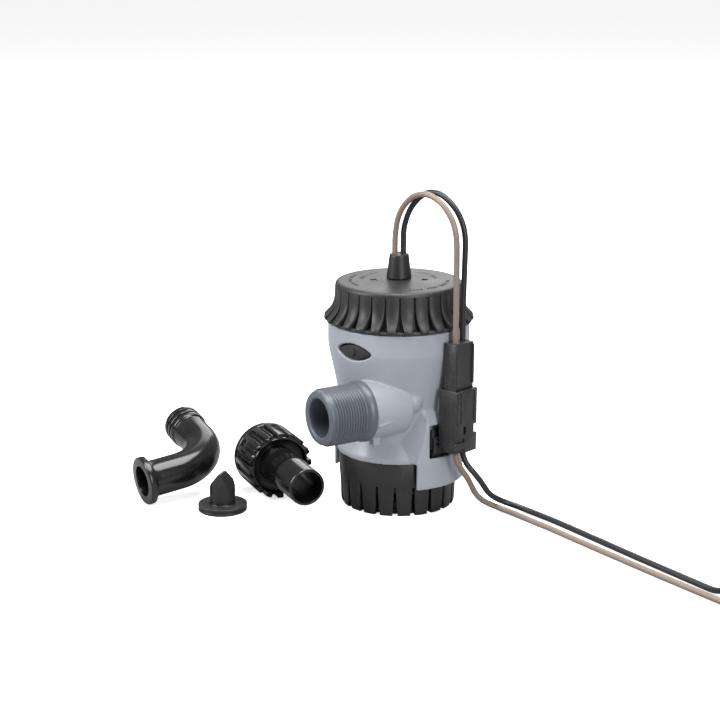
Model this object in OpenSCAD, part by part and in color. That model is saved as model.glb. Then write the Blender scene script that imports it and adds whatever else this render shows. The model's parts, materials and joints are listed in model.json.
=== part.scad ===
// Cartridge bilge pump with its loose outlet fittings.
// Origin on the pump axis at the base plane, outlet towards -Y, +Z up.

/* [Strainer] */
// Radius of the strainer wall
strainer_r = 30.4; // [28:0.2:31]
// Height of the strainer wall
strainer_h = 28; // [24:1:30]
// Number of slots round the strainer
slot_count = 20; // [12:1:24]

/* [Housing] */
// Radius of the housing under the cap
housing_r = 36; // [34:0.5:37]
// Height of the housing rim
housing_top = 95.6; // [94:0.2:96]
// Radius of the bore that holds the cartridge
cartridge_bore_r = 29.2; // [28:0.2:30]

/* [Outlet] */
// Radius over the outlet thread
thread_r = 14.55; // [14:0.05:15]
// Radius of the water passage
passage_r = 9.75; // [9:0.25:10]
// Distance of the outlet axis from the pump axis
outlet_x = 18; // [16:0.5:20]
// Height of the outlet axis
outlet_z = 57; // [55:0.5:59]
// Distance of the outlet face from the pump axis
outlet_reach = 58.5; // [54:0.5:62]

/* [Cap] */
// Radius of the flat top of the cap
cap_top_r = 31.6; // [30:0.2:32]
// Largest radius of the cap
cap_flare_r = 38.2; // [37:0.2:39]
// Height of the flat top of the cap
cap_top_z = 116; // [114:1:118]
// Number of grip ribs round the cap
cap_ribs = 28; // [20:1:32]

/* [Wiring] */
// Diameter over the insulation of one wire
wire_d = 3; // [2.4:0.2:3.2]
// Direction of the connector round the pump
plug_angle = 14; // [12:1:16]

/* [Fittings] */
// Outer diameter of the hose tail and the elbow
hose_d = 19; // [18:0.5:20]
// Wall of the hose tail and the elbow
hose_wall = 1.6; // [1.4:0.1:2]

/* [Hidden] */

$fn = 96;
eps = 0.01;
fine_gap = 0.3;

// housing stations
skirt_bottom = 15;
cavity_r = 25;
ledge_z = 68;
lock_bore_r = 32.4;
lock_bore_z = 84;
latch_angle = 12;
pilaster_r = 34.4;
pilaster_in_r = 32.6;
pilaster_top = 57;
pilaster_half = 29;
window_half = 17.5;
window_z0 = 30.8;
window_z1 = 48;
oval_angle = -73.5;
oval_z = 85.3;
oval_w = 23.5;
oval_h = 8.6;

// connector stations, measured along its own radial line
plug_r = 40.6;
plug_w = 13;
plug_d = 7.8;
plug_z0 = 52;
plug_z1 = 91;
socket_in = 34.6;
socket_out = 46.4;
socket_w = 15.4;
socket_z0 = 35;
socket_z1 = 67.4;
lead_pitch = 2.6;
supply_r = 43.4;

// cartridge stations
can_r = 28.8;
can_wall = 2;
can_bottom = 66;
can_top = 92.8;
motor_r = 17.5;
motor_wall = 1.2;
motor_z0 = 69;
motor_z1 = 107;
shaft_r = 2;
shaft_z0 = 41;
shaft_z1 = 107.5;
relief_z = 117.6;
relief_h = 12.1;
lug_angles = [0, 120, 240];

// places of the loose fittings
elbow_place = [-60.3, -117.7, 12.55];
elbow_heading = 88;
elbow_rise = 6;
elbow_roll = 12.5;
tail_face = [-31, -52.5, 17.5];
tail_heading = -8.3;
valve_place = [-32.6, -85.8, 0];

// wire routes: the leads in the plane of the plug (along, across, up), the supply wires in the frame
lead_brown_route = [
    [-1.5, -1.5, 129.7], [-1.5, -1.5, 134], [-1.2, -1.5, 140], [0.6, -1.6, 148], [4.4, -1.7, 154.5],
    [10, -1.8, 159.5], [15, -1.9, 161.6], [19.5, -2, 162.2], [24.5, -2.1, 161.4], [29.8, -2.2, 159],
    [34, -2.4, 155.5], [37.5, -2.5, 151], [39.5, -2.6, 146], [40.4, -2.6, 140], [40.6, -2.6, 127],
    [40.6, -2.6, 112], [40.6, -2.6, 100], [40.6, -2.6, 91]
];
lead_black_route = [
    [1.4, 1.6, 129.7], [1.4, 1.6, 134], [1.7, 1.6, 142], [3.5, 1.7, 148.2], [6.2, 1.8, 153.4],
    [9.8, 1.9, 157.6], [14, 2, 160.9], [18.7, 2.1, 162.7], [23.7, 2.2, 162.8], [28.6, 2.3, 161],
    [33.5, 2.4, 157.6], [37.3, 2.5, 153.4], [39.9, 2.6, 148.4], [41.2, 2.6, 143], [41.4, 2.6, 137],
    [41, 2.6, 122], [40.7, 2.6, 112], [40.6, 2.6, 100], [40.6, 2.6, 91]
];
supply_brown_route = [
    [41.2, 7.6, 34.8], [41.3, 7.8, 32], [41.6, 8.9, 28.5], [41.9, 11.2, 24.6], [41.9, 14.2, 20.4],
    [41.5, 17, 16], [41.2, 19.8, 11.2],
    [41.7, 22.8, 7.6], [42.7, 26.2, 5], [45, 30, 2.9], [51, 33.4, 1.6], [62, 34.6, 1.5], [73, 35.6, 1.5],
    [84, 36.5, 1.5], [98, 37.2, 1.5], [120, 38.5, 1.5], [145, 40, 1.5], [170, 41.8, 1.5],
    [195, 43.8, 1.5], [204, 44.7, 1.5]
];
supply_black_route = [
    [39.9, 12.6, 34.8], [40.2, 12.8, 32], [41.3, 13.5, 28.8], [43, 14.9, 25.7], [44.6, 17, 22.6],
    [45.6, 19.6, 18.9], [45.8, 22.2, 15.2],
    [45.8, 25, 11.4], [45.5, 29.3, 8], [46.3, 34.5, 5], [50, 39.2, 3], [57, 42.6, 1.7], [67, 44, 1.5],
    [78, 44.9, 1.5], [89, 45.4, 1.5], [112, 46.3, 1.5], [137, 47.3, 1.5], [162, 48.6, 1.5],
    [182, 49.6, 1.6], [192, 49.6, 4.2], [201, 48.6, 7]
];
coil_centre = [218, 66];
coil_in = 10.5;
coil_out = 22.5;
bare_len = 8;

// ---- helpers ----

function unit(v) = v / norm(v);
function tangent(p, i) = unit(p[min(i + 1, len(p) - 1)] - p[max(i - 1, 0)]);
function ring_at(p, i, r, ref, sides) =
    let (t = tangent(p, i), a = unit(cross(t, ref)), b = cross(t, a))
    [for (k = [0:sides - 1]) p[i] + r * (a * cos(360 * k / sides) + b * sin(360 * k / sides))];

// round wire swept along the points of a route
module wire_along(route, r, ref, sides = 8) {
    last = len(route) - 1;
    polyhedron(
        points = [for (i = [0:last]) each ring_at(route, i, r, ref, sides)],
        faces = concat(
            [[for (k = [0:sides - 1]) k]],
            [[for (k = [sides - 1:-1:0]) last * sides + k]],
            [for (i = [0:last - 1]) for (k = [0:sides - 1])
                [i * sides + k, (i + 1) * sides + k,
                 (i + 1) * sides + (k + 1) % sides, i * sides + (k + 1) % sides]]
        )
    );
}

module tube(r_out, r_in, z0, z1) {
    translate([0, 0, z0])
        difference() {
            cylinder(r = r_out, h = z1 - z0);
            translate([0, 0, -1]) cylinder(r = r_in, h = z1 - z0 + 2);
        }
}

// part of a ring between two directions
module arc_block(r_in, r_out, z0, z1, a0, a1) {
    rotate([0, 0, a0])
        rotate_extrude(angle = a1 - a0)
            translate([r_in, z0]) square([r_out - r_in, z1 - z0]);
}

// box standing on the radial line of the connector
module radial_box(r0, r1, across, z0, z1, shift = 0) {
    rotate([0, 0, plug_angle])
        translate([r0, shift - across / 2, z0])
            cube([r1 - r0, across, z1 - z0]);
}

// turns shapes drawn along +Z so that they run along -Y at the outlet axis
module at_outlet(y) {
    translate([outlet_x, -y, outlet_z]) rotate([90, 0, 0]) children();
}

// ---- strainer ----

module strainer_base() {
    floor_t = 2.2;
    wall = 1.8;
    slot_top = 15.5;
    slot_foot = 2.1;
    slot_head = 1.2;
    notch_w = 2.7;
    notch_h = 3;
    screw_r = 17;
    screw_d = 4.4;
    color([0.14, 0.14, 0.15])
    difference() {
        union() {
            rotate_extrude()
                polygon([
                    [0, 0], [strainer_r - 1.4, 0], [strainer_r - 1, 1.4], [strainer_r - 0.4, 14],
                    [strainer_r, 16], [strainer_r, strainer_h], [29, strainer_h], [29, 32.6],
                    [27.6, 32.6], [27.6, 20], [strainer_r - 1 - wall, floor_t], [0, floor_t]
                ]);
            tube(24, 22.8, 0.5, 6);
        }
        for (i = [0:slot_count - 1])
            rotate([0, 0, i * 360 / slot_count])
                translate([25.5, 0, 0])
                    rotate([90, 0, 90])
                        linear_extrude(height = 8)
                            polygon([
                                [-notch_w / 2, -1], [-notch_w / 2, notch_h], [-slot_foot / 2, notch_h],
                                [-slot_head / 2, slot_top], [slot_head / 2, slot_top],
                                [slot_foot / 2, notch_h], [notch_w / 2, notch_h], [notch_w / 2, -1]
                            ]);
        for (a = [30, 150, 270])
            rotate([0, 0, a]) translate([screw_r, 0, -1]) cylinder(d = screw_d, h = 6);
        for (a = [0:45:315])
            rotate([0, 0, a + 10]) translate([9.5, 0, -1]) cylinder(d = 3, h = 6);
    }
}

module strainer_latch(angle) {
    arm_half = 13;
    arm_r0 = 30.75;
    arm_r1 = 32.2;
    color([0.12, 0.12, 0.13]) {
        arc_block(arm_r0, arm_r1, 19, 45, angle - arm_half, angle + arm_half);
        arc_block(arm_r1 - eps, 33.9, 33, 41.5, angle - arm_half, angle + arm_half);
        arc_block(33.9 - eps, 34.5, 36.2, 37.4, angle - arm_half + 2, angle + arm_half - 2);
        arc_block(33.9 - eps, 34.5, 38.6, 39.8, angle - arm_half + 2, angle + arm_half - 2);
    }
}

module strainer_latch_right() {
    strainer_latch(latch_angle);
}

module strainer_latch_left() {
    strainer_latch(latch_angle + 180);
}

// ---- housing ----

// straight root of the spigot, then the tapered hump where the duct runs into the side
module duct_hump() {
    start = [outlet_x + 1, -26, outlet_z + 0.3];
    end = [26.6, -9.5, outlet_z + 3];
    end_r = 5.4;
    run = end - start;
    len_run = norm(run);
    translate([outlet_x, -12, outlet_z]) rotate([90, 0, 0]) cylinder(r = thread_r - 0.3, h = 21);
    translate(start)
        rotate([0, acos(run[2] / len_run), atan2(run[1], run[0])])
            cylinder(r1 = thread_r - 0.8, r2 = end_r, h = len_run);
    translate(end) sphere(r = end_r + 0.15);
}

module oval_window(grow) {
    half_w = oval_w / 2;
    half_h = oval_h / 2;
    arc_r = (half_w * half_w + half_h * half_h) / (2 * half_h);
    rotate([0, 0, oval_angle])
        translate([30, 0, oval_z])
            rotate([90, 0, 90])
                linear_extrude(height = 8)
                    intersection() {
                        translate([0, half_h - arc_r]) circle(r = arc_r + grow);
                        translate([0, arc_r - half_h]) circle(r = arc_r + grow);
                        square([oval_w - 1.6 + 2 * grow, 20], center = true);
                    }
}

// skirt tab, and above it the panel with slanted ramps that dies away into the waist
module skirt_panel(angle) {
    panel_half = 42;
    crest = [29.9, 17.1, 28];
    ramp = 21;
    lean = 13;
    difference() {
        rotate([0, 0, angle - panel_half])
            rotate_extrude(angle = 2 * panel_half)
                polygon([
                    [20, skirt_bottom], [pilaster_r, skirt_bottom], [pilaster_r, 46], [33.4, 50.5],
                    [29.4, pilaster_top], [20, pilaster_top]
                ]);
        for (side = [-1, 1]) {
            rotate([0, 0, angle])
                translate([crest[0], side * crest[1], crest[2]])
                    rotate([side * lean, 0, 0])
                        rotate([0, 0, -side * ramp])
                            translate([-30, side > 0 ? 0 : -40, -20]) cube([60, 40, 80]);
            arc_block(18, 40, 10, 28.6, angle + side * 38 - 9, angle + side * 38 + 9);
        }
    }
}

module latch_opening(angle) {
    // channel behind the skirt for the latch arm, then the window in front of its head
    arc_block(28.9, pilaster_in_r, 27, 49.5, angle - 16, angle + 16);
    arc_block(30, 36, window_z0, window_z1, angle - window_half, angle + window_half);
}

module pump_housing() {
    color([0.54, 0.57, 0.61])
    difference() {
        union() {
            rotate_extrude()
                polygon([
                    [0, 27.5], [31.5, 27.5], [31.5, 30.6], [27.6, 38], [27.2, 40.5], [28.5, 47],
                    [31.7, 63], [35.6, 82], [housing_r, 84.5], [housing_r, housing_top], [0, housing_top]
                ]);
            for (a = [latch_angle, latch_angle + 180])
                skirt_panel(a);
            duct_hump();
            // gusset block under the spigot, and the thin rib that climbs along the hump
            translate([17.6, -29, 38.6]) cube([4.6, 4, 9]);
            translate([32.5, -31.3, 51.2]) rotate([0, -11, 95.3]) cube([19, 4.5, 1.3]);
            // rail that carries the connector
            radial_box(30, 36.4, 7, 50, 66);
            // small raised arrow beside the window
            rotate([0, 0, -6.5])
                translate([30, 0, 52])
                    rotate([90, 0, 90])
                        linear_extrude(height = 3.6)
                            polygon([[-1.6, -1.4], [1.6, -1.4], [0, 1.9]]);
        }
        // wet chamber, cartridge bore and lock bore
        translate([0, 0, 33.5]) cylinder(r = cavity_r, h = 70);
        translate([0, 0, 27]) cylinder(r = 29.3, h = 6.6);
        translate([0, 0, 10]) cylinder(r = pilaster_in_r + fine_gap, h = 18);
        translate([0, 0, ledge_z]) cylinder(r = cartridge_bore_r, h = 40);
        translate([0, 0, lock_bore_z]) cylinder(r = lock_bore_r, h = 40);
        // passage into the spigot
        translate([outlet_x, 2, outlet_z])
            rotate([90, 0, 0]) cylinder(r = passage_r + fine_gap, h = 50);
        oval_window(0);
        latch_opening(latch_angle);
        latch_opening(latch_angle + 180);
    }
    // three inner hooks of the bayonet lock
    color([0.54, 0.57, 0.61])
    for (a = lug_angles)
        arc_block(29.8, lock_bore_r + 0.6, 89, 92, a - 20, a + 20);
}

module outlet_port() {
    thread_pitch = 1.5;
    thread_len = 19;
    thread_root = thread_r - 0.8;
    turns = floor(thread_len / thread_pitch);
    color([0.56, 0.59, 0.63])
    at_outlet(0)
        rotate_extrude()
            difference() {
                polygon(concat(
                    [[passage_r, 33], [thread_r + 0.6, 33], [thread_r + 0.9, 34.5], [thread_r + 0.6, 36.5],
                     [thread_root, 38]],
                    [for (i = [0:turns - 1]) each [
                        [thread_root, 38.4 + i * thread_pitch],
                        [thread_r, 38.4 + i * thread_pitch + 0.6],
                        [thread_r, 38.4 + i * thread_pitch + 0.8],
                        [thread_root, 38.4 + i * thread_pitch + 1.4]]],
                    [[thread_root, outlet_reach - 0.8], [thread_root - 0.8, outlet_reach],
                     [passage_r, outlet_reach]]
                ));
            }
}

module volute_plate() {
    eye_r = 8.5;
    color([0.2, 0.2, 0.21])
    difference() {
        union() {
            translate([0, 0, 35]) cylinder(r = cavity_r - 0.02, h = 3.4);
            translate([0, 0, 32.5]) cylinder(r = eye_r + 2, h = 4);
        }
        translate([0, 0, 30]) cylinder(r = eye_r, h = 12);
    }
}

module cartridge_lock_tab() {
    tab_gap = 0.9;
    color([0.1, 0.1, 0.11]) {
        intersection() {
            oval_window(-tab_gap);
            tube(34.7, 33.2, 78, 92);
        }
        rotate([0, 0, oval_angle - 1.5])
            translate([34.2, 0, oval_z - 0.2]) rotate([0, 90, 0]) cylinder(r = 2.1, h = 1.2);
    }
}

// ---- connector ----

module connector_socket() {
    wall_gap = 0.15;
    color([0.15, 0.15, 0.16])
    difference() {
        union() {
            radial_box(socket_in, socket_out, socket_w, socket_z0 + 2, socket_z1);
            radial_box(38, socket_out, 8.6, socket_z0, 50, 3.4);
            radial_box(36, 45, 6.8, socket_z0, 50, -3.8);
        }
        // cavity for the plug
        radial_box(plug_r - plug_d / 2 - wall_gap, plug_r + plug_d / 2 + wall_gap,
                   plug_w + 2 * wall_gap, plug_z0 - 0.2, 80);
        // slot for the rail on the housing
        radial_box(30, 36.5, 7.1, 49.9, 66.1);
        // terminal chambers
        for (s = [-lead_pitch, lead_pitch])
            rotate([0, 0, plug_angle]) translate([supply_r - 1.6, s, 30]) cylinder(r = 2, h = 30);
        // latch windows in the outer face and the cross cut under them
        radial_box(44.6, 50, 2, 44.4, 48.8, -1.4);
        radial_box(44.6, 50, 2.4, 44.2, 48.8, 6.8);
        radial_box(45.2, 50, 6.4, 40.6, 42.8, -4.6);
    }
}

module socket_terminals() {
    color([0.72, 0.6, 0.32])
    for (s = [-lead_pitch, lead_pitch])
        rotate([0, 0, plug_angle]) translate([supply_r - 1.6, s, 39]) cylinder(r = 1.5, h = 12);
}

module socket_seals() {
    color([0.25, 0.25, 0.26])
    for (s = [-lead_pitch, lead_pitch])
        rotate([0, 0, plug_angle]) translate([supply_r - 1.6, s, socket_z0]) cylinder(r = 1.99, h = 4);
}

module connector_plug() {
    color([0.13, 0.13, 0.14])
    difference() {
        union() {
            radial_box(plug_r - plug_d / 2, plug_r + plug_d / 2, plug_w, plug_z0, plug_z1);
            radial_box(plug_r + plug_d / 2 - eps, plug_r + plug_d / 2 + 0.9, 1.2, 70, plug_z1 - 1, -5.6);
            radial_box(plug_r + plug_d / 2 - eps, plug_r + plug_d / 2 + 0.9, 1.2, 70, plug_z1 - 1, 5.6);
        }
        for (s = [-lead_pitch, lead_pitch])
            rotate([0, 0, plug_angle]) translate([plug_r, s, plug_z0 - 1]) cylinder(r = 2.2, h = 50);
    }
}

module plug_terminals() {
    color([0.72, 0.6, 0.32])
    for (s = [-lead_pitch, lead_pitch])
        rotate([0, 0, plug_angle]) translate([plug_r, s, plug_z0 + 2]) cylinder(r = 1.7, h = 26);
}

module plug_seals() {
    color([0.25, 0.25, 0.26])
    for (s = [-lead_pitch, lead_pitch])
        rotate([0, 0, plug_angle]) translate([plug_r, s, plug_z1 - 8]) cylinder(r = 2.19, h = 8);
}

// ---- wires ----

module lead_brown() {
    color([0.55, 0.47, 0.4])
    rotate([0, 0, plug_angle]) wire_along(lead_brown_route, wire_d / 2, [0, 1, 0]);
}

module lead_black() {
    color([0.1, 0.1, 0.1])
    rotate([0, 0, plug_angle]) wire_along(lead_black_route, wire_d / 2, [0, 1, 0]);
}

module supply_wire_brown() {
    color([0.55, 0.47, 0.4]) wire_along(supply_brown_route, wire_d / 2, [1, -1, 1]);
}

module supply_wire_black() {
    color([0.1, 0.1, 0.1]) wire_along(supply_black_route, wire_d / 2, [1, -1, 1]);
}

module wire_coil(z0) {
    translate([coil_centre[0], coil_centre[1], 0]) tube(coil_out, coil_in, z0, z0 + 2 * wire_d);
}

module wire_coil_brown() {
    color([0.55, 0.47, 0.4]) wire_coil(0);
}

module wire_coil_black() {
    color([0.1, 0.1, 0.1]) wire_coil(2 * wire_d);
}

module wire_ends() {
    color([0.8, 0.78, 0.74])
    for (z = [wire_d * 1.5, wire_d * 3.5])
        translate([coil_centre[0] + coil_out + 0.9, coil_centre[1] + 1, z])
            rotate([-90, 0, 0]) cylinder(r = 0.8, h = bare_len);
}

// ---- cartridge ----

module cartridge_cap() {
    rib_w = 5;
    core_r = 31;
    color([0.2, 0.2, 0.21])
    difference() {
        union() {
            rotate_extrude()
                polygon([
                    [0, cap_top_z + 1.4], [8, cap_top_z + 1.2], [24, cap_top_z + 0.3],
                    [cap_top_r - 0.8, cap_top_z], [cap_top_r + 0.3, cap_top_z - 0.6],
                    [cap_top_r + 0.7, cap_top_z - 2], [core_r, cap_top_z - 3], [core_r, 97.4],
                    [36.8, 97.4], [36.4, 96], [31.7, 96], [31.7, 96.7], [29.6, 96.7],
                    [29.6, 112.6], [0, 112.6]
                ]);
            // grip ribs that flare out at the foot
            for (i = [0:cap_ribs - 1])
                rotate([90, 0, i * 360 / cap_ribs])
                    linear_extrude(height = rib_w, center = true)
                        polygon([
                            [core_r - 0.4, cap_top_z - 2.4], [cap_top_r + 0.7, cap_top_z - 2.4],
                            [cap_top_r + 0.9, 109], [cap_top_r + 1.6, 105], [cap_top_r + 3.4, 101.5],
                            [cap_flare_r - 0.5, 99], [cap_flare_r, 98], [cap_flare_r - 0.3, 97],
                            [cap_flare_r - 1.3, 96.3], [34, 96.6], [core_r - 0.4, 98]
                        ]);
        }
        // two crescent vents in the top
        for (a = [43, 253])
            rotate([0, 0, a]) arc_block(11.8, 14.8, 110, 120, -9, 9);
        translate([0, 0, 110]) cylinder(r = 5, h = 10);
    }
}

module cap_gasket() {
    color([0.08, 0.08, 0.08]) tube(31.6, 29.7, 96.05, 96.65);
}

module strain_relief() {
    color([0.09, 0.09, 0.1])
    difference() {
        union() {
            translate([0, 0, relief_z]) cylinder(r1 = 6.3, r2 = 4.9, h = relief_h);
            translate([0, 0, 113.2]) cylinder(r = 4.95, h = 5);
        }
        rotate([0, 0, plug_angle]) {
            translate([-1.5, -1.5, 112]) cylinder(r = 1.45, h = 20);
            translate([1.4, 1.6, 112]) cylinder(r = 1.45, h = 20);
        }
    }
}

module cartridge_can() {
    color([0.16, 0.16, 0.17])
    difference() {
        union() {
            translate([0, 0, can_bottom]) cylinder(r = cavity_r - 0.3, h = 3);
            difference() {
                translate([0, 0, ledge_z + 0.3]) cylinder(r = can_r, h = can_top - ledge_z - 0.3);
                translate([0, 0, 73.2]) rotate_extrude() translate([27.6, 0]) square([3, 2.8]);
            }
            for (a = lug_angles)
                arc_block(can_r - 1, 31.8, 85, 88.6, a - 14, a + 14);
            tube(29.5, can_r - can_wall, 88, 98);
        }
        translate([0, 0, motor_z0]) cylinder(r = can_r - can_wall - 2, h = 60);
        translate([0, 0, 60]) cylinder(r = 6, h = 20);
    }
    color([0.16, 0.16, 0.17])
    for (a = [45, 135, 225, 315])
        rotate([0, 0, a]) translate([motor_r + 0.02, -1, motor_z0]) cube([8, 2, 20]);
}

module cartridge_o_ring() {
    color([0.07, 0.07, 0.07])
    translate([0, 0, 74.6]) rotate_extrude() translate([28.4, 0]) circle(r = 0.77, $fn = 24);
}

module motor_can() {
    color([0.62, 0.63, 0.65])
    difference() {
        translate([0, 0, motor_z0]) cylinder(r = motor_r, h = motor_z1 - motor_z0);
        translate([0, 0, motor_z0 + motor_wall])
            cylinder(r = motor_r - motor_wall, h = motor_z1 - motor_z0);
        translate([0, 0, motor_z0 - 1]) cylinder(r = 5, h = 6);
    }
}

module magnet(a) {
    color([0.25, 0.24, 0.24]) arc_block(13.5, motor_r - motor_wall - 0.02, 74, 97, a - 65, a + 65);
}

module magnet_left() {
    magnet(180);
}

module magnet_right() {
    magnet(0);
}

module brush_plate() {
    color([0.75, 0.73, 0.68])
    difference() {
        translate([0, 0, 99]) cylinder(r = motor_r - motor_wall - 0.02, h = 8);
        translate([0, 0, 98]) cylinder(r = 5.4, h = 7);
        translate([0, 0, 98]) cylinder(r = 4.01, h = 12);
        translate([-14, -2.05, 100.95]) cube([28, 4.1, 3.1]);
    }
}

module brush(side) {
    color([0.18, 0.17, 0.17])
    translate([side * 7.6 - 2.9, -2, 101]) cube([5.8, 4, 3]);
}

module brush_left() {
    brush(-1);
}

module brush_right() {
    brush(1);
}

module brush_springs() {
    color([0.7, 0.7, 0.72])
    for (side = [-1, 1])
        translate([side * 12.2, 0, 102.5]) rotate([0, 90, 0]) difference() {
            cylinder(r = 1.3, h = 3.3, center = true);
            cylinder(r = 0.8, h = 5, center = true);
        }
}

module bearing(z, h, r) {
    color([0.66, 0.5, 0.3]) tube(r, shaft_r + 0.03, z, z + h);
}

module upper_bearing() {
    bearing(105.2, 2.6, 4);
}

module lower_bearing() {
    bearing(motor_z0, 3.6, 4.99);
}

module shaft_seal() {
    color([0.07, 0.07, 0.07]) tube(5.99, shaft_r + 0.05, can_bottom, can_bottom + 2.9);
}

// ---- rotor ----

module motor_shaft() {
    color([0.75, 0.76, 0.78])
    translate([0, 0, shaft_z0]) cylinder(r = shaft_r, h = shaft_z1 - shaft_z0);
}

module armature_core() {
    core_r = 12.9;
    color([0.45, 0.45, 0.47])
    difference() {
        translate([0, 0, 77]) cylinder(r = core_r, h = 17);
        translate([0, 0, 76]) cylinder(r = shaft_r, h = 20);
        for (i = [0:6])
            rotate([0, 0, i * 360 / 7]) {
                translate([8.4, 0, 76]) cylinder(r = 2.6, h = 20);
                translate([8.4, -0.5, 76]) cube([6, 1, 20]);
            }
    }
}

module armature_windings() {
    color([0.72, 0.36, 0.16]) {
        tube(11.6, 4, 73.4, 77);
        tube(11.6, 4, 94, 98);
        for (i = [0:6])
            rotate([0, 0, i * 360 / 7]) translate([8.4, 0, 76.9]) cylinder(r = 2.5, h = 17.2);
    }
}

module commutator() {
    color([0.78, 0.48, 0.26])
    difference() {
        tube(4.6, shaft_r, 98.1, 104.6);
        for (a = [0:360 / 7:359])
            rotate([0, 0, a]) translate([4.1, -0.2, 98]) cube([2, 0.4, 8]);
    }
}

module impeller() {
    vane_count = 5;
    vane_t = 1.8;
    color([0.16, 0.16, 0.17])
    difference() {
        union() {
            translate([0, 0, 43]) cylinder(r = 4.4, h = 19);
            translate([0, 0, 57.5]) cylinder(r = 20, h = 2);
            for (i = [0:vane_count - 1])
                rotate([0, 0, i * 360 / vane_count]) translate([11, 0, 43.5]) arc_vane(vane_t);
        }
        translate([0, 0, 40]) cylinder(r = shaft_r, h = 30);
    }
}

// one backward-swept vane, an arc from the hub to the rim
module arc_vane(t) {
    translate([0.5, 10, 0])
        rotate([0, 0, -141])
            rotate_extrude(angle = 82) translate([12, 0]) square([t, 14.6]);
}

module impeller_clip() {
    color([0.7, 0.71, 0.73]) tube(3.6, shaft_r, 41.6, 42.6);
}

// ---- loose fittings ----

module at_elbow() {
    translate(elbow_place) rotate([0, -elbow_rise, elbow_heading]) rotate([elbow_roll, 0, 0]) children();
}

module outlet_elbow() {
    bend_r = 23;
    leg_a = 19.9;
    leg_b = 21.4;
    bore_r = hose_d / 2 - hose_wall;
    r = hose_d / 2;
    color([0.1, 0.1, 0.11])
    at_elbow() {
        // flanged leg along +X, quarter bend, then the barbed leg along +Y
        rotate([0, 90, 0]) rotate_extrude()
            polygon([[bore_r, 0], [12.2, 0], [12.6, 0.4], [12.6, 3.2], [12.2, 3.6], [r + 0.6, 3.6],
                     [r, 4.6], [r, leg_a], [bore_r, leg_a]]);
        translate([leg_a, bend_r, 0]) rotate([0, 0, -90]) rotate_extrude(angle = 90)
            translate([bend_r, 0]) difference() {
                circle(r = r);
                circle(r = bore_r);
            }
        translate([leg_a + bend_r, bend_r, 0]) rotate([-90, 0, 0]) rotate_extrude()
            polygon([[bore_r, 0], [r, 0], [r, leg_b - 11], [r + 0.9, leg_b - 10], [r + 0.9, leg_b - 7.2],
                     [r - 0.3, leg_b - 6.8], [r - 0.3, leg_b - 6.2], [r + 0.9, leg_b - 5.8],
                     [r + 0.9, leg_b - 3.2], [r - 0.6, leg_b], [bore_r, leg_b]]);
    }
}

module at_tail() {
    translate(tail_face) rotate([0, 0, tail_heading]) rotate([0, 90, 0]) children();
}

module union_nut() {
    rib_pairs = 16;
    nut_len = 25;
    color([0.1, 0.1, 0.11])
    at_tail() {
        rotate_extrude()
            polygon([[10, -4.2], [14.6, -4.2], [14.6, 0], [15.6, 0], [15.6, -20], [17.4, -20],
                     [17.4, -24], [16.6, -nut_len], [14.9, -nut_len], [14.9, -7.4], [10, -7.4]]);
        for (i = [0:rib_pairs - 1]) {
            rotate([0, 0, i * 360 / rib_pairs])
                translate([15.2, -1.5, -21]) cube([2.2, 3, 21]);
            rotate([0, 0, (i + 0.5) * 360 / rib_pairs])
                translate([15.2, -0.6, -18.5]) cube([1.2, 1.2, 18.5]);
        }
    }
}

module hose_tail() {
    tail_len = 37;
    root_len = 3;
    color([0.1, 0.1, 0.11])
    at_tail()
        rotate_extrude()
            polygon([[hose_d / 2 - hose_wall, tail_len], [hose_d / 2, tail_len], [hose_d / 2, root_len],
                     [hose_d / 2 + 0.3, root_len], [hose_d / 2 + 0.3, -7.8],
                     [14.2, -7.8], [14.2, -10.4], [hose_d / 2 - hose_wall, -10.4]]);
}

module check_valve() {
    flange_r = 12.5;
    lip_turn = 38;
    color([0.08, 0.08, 0.08])
    translate(valve_place) {
        difference() {
            cylinder(r = flange_r, h = 3.4);
            translate([0, 0, 1.5]) tube(flange_r + 1, flange_r - 0.8, 0, 0.5);
            translate([0, 0, -1]) cylinder(r = 4.6, h = 2.6);
        }
        translate([0, 0, 3.3]) cylinder(r = 6.5, h = 6.7);
        // the two flat lips meet in a straight edge at the top
        intersection() {
            translate([0, 0, 9.9]) cylinder(r = 6.5, h = 9.7);
            rotate([0, 0, lip_turn]) rotate([90, 0, 0]) linear_extrude(height = 14, center = true)
                polygon([[-6.5, 9.9], [6.5, 9.9], [6.4, 11.5], [0.6, 19.6], [-0.6, 19.6], [-6.4, 11.5]]);
            rotate([0, 0, lip_turn + 90]) rotate([90, 0, 0]) linear_extrude(height = 14, center = true)
                polygon([[-6.6, 9.8], [6.6, 9.8], [6.6, 12.5], [3.6, 19.7], [-3.6, 19.7], [-6.6, 12.5]]);
        }
    }
}

strainer_base();
strainer_latch_right();
strainer_latch_left();
pump_housing();
outlet_port();
volute_plate();
cartridge_lock_tab();
connector_socket();
socket_terminals();
socket_seals();
connector_plug();
plug_terminals();
plug_seals();
lead_brown();
lead_black();
supply_wire_brown();
supply_wire_black();
wire_coil_brown();
wire_coil_black();
wire_ends();
cartridge_cap();
cap_gasket();
strain_relief();
cartridge_can();
cartridge_o_ring();
motor_can();
magnet_left();
magnet_right();
brush_plate();
brush_left();
brush_right();
brush_springs();
upper_bearing();
lower_bearing();
shaft_seal();
motor_shaft();
armature_core();
armature_windings();
commutator();
impeller();
impeller_clip();
outlet_elbow();
union_nut();
hose_tail();
check_valve();
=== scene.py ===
import json
import math

import bmesh
import bpy
from mathutils import Matrix, Vector


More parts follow.
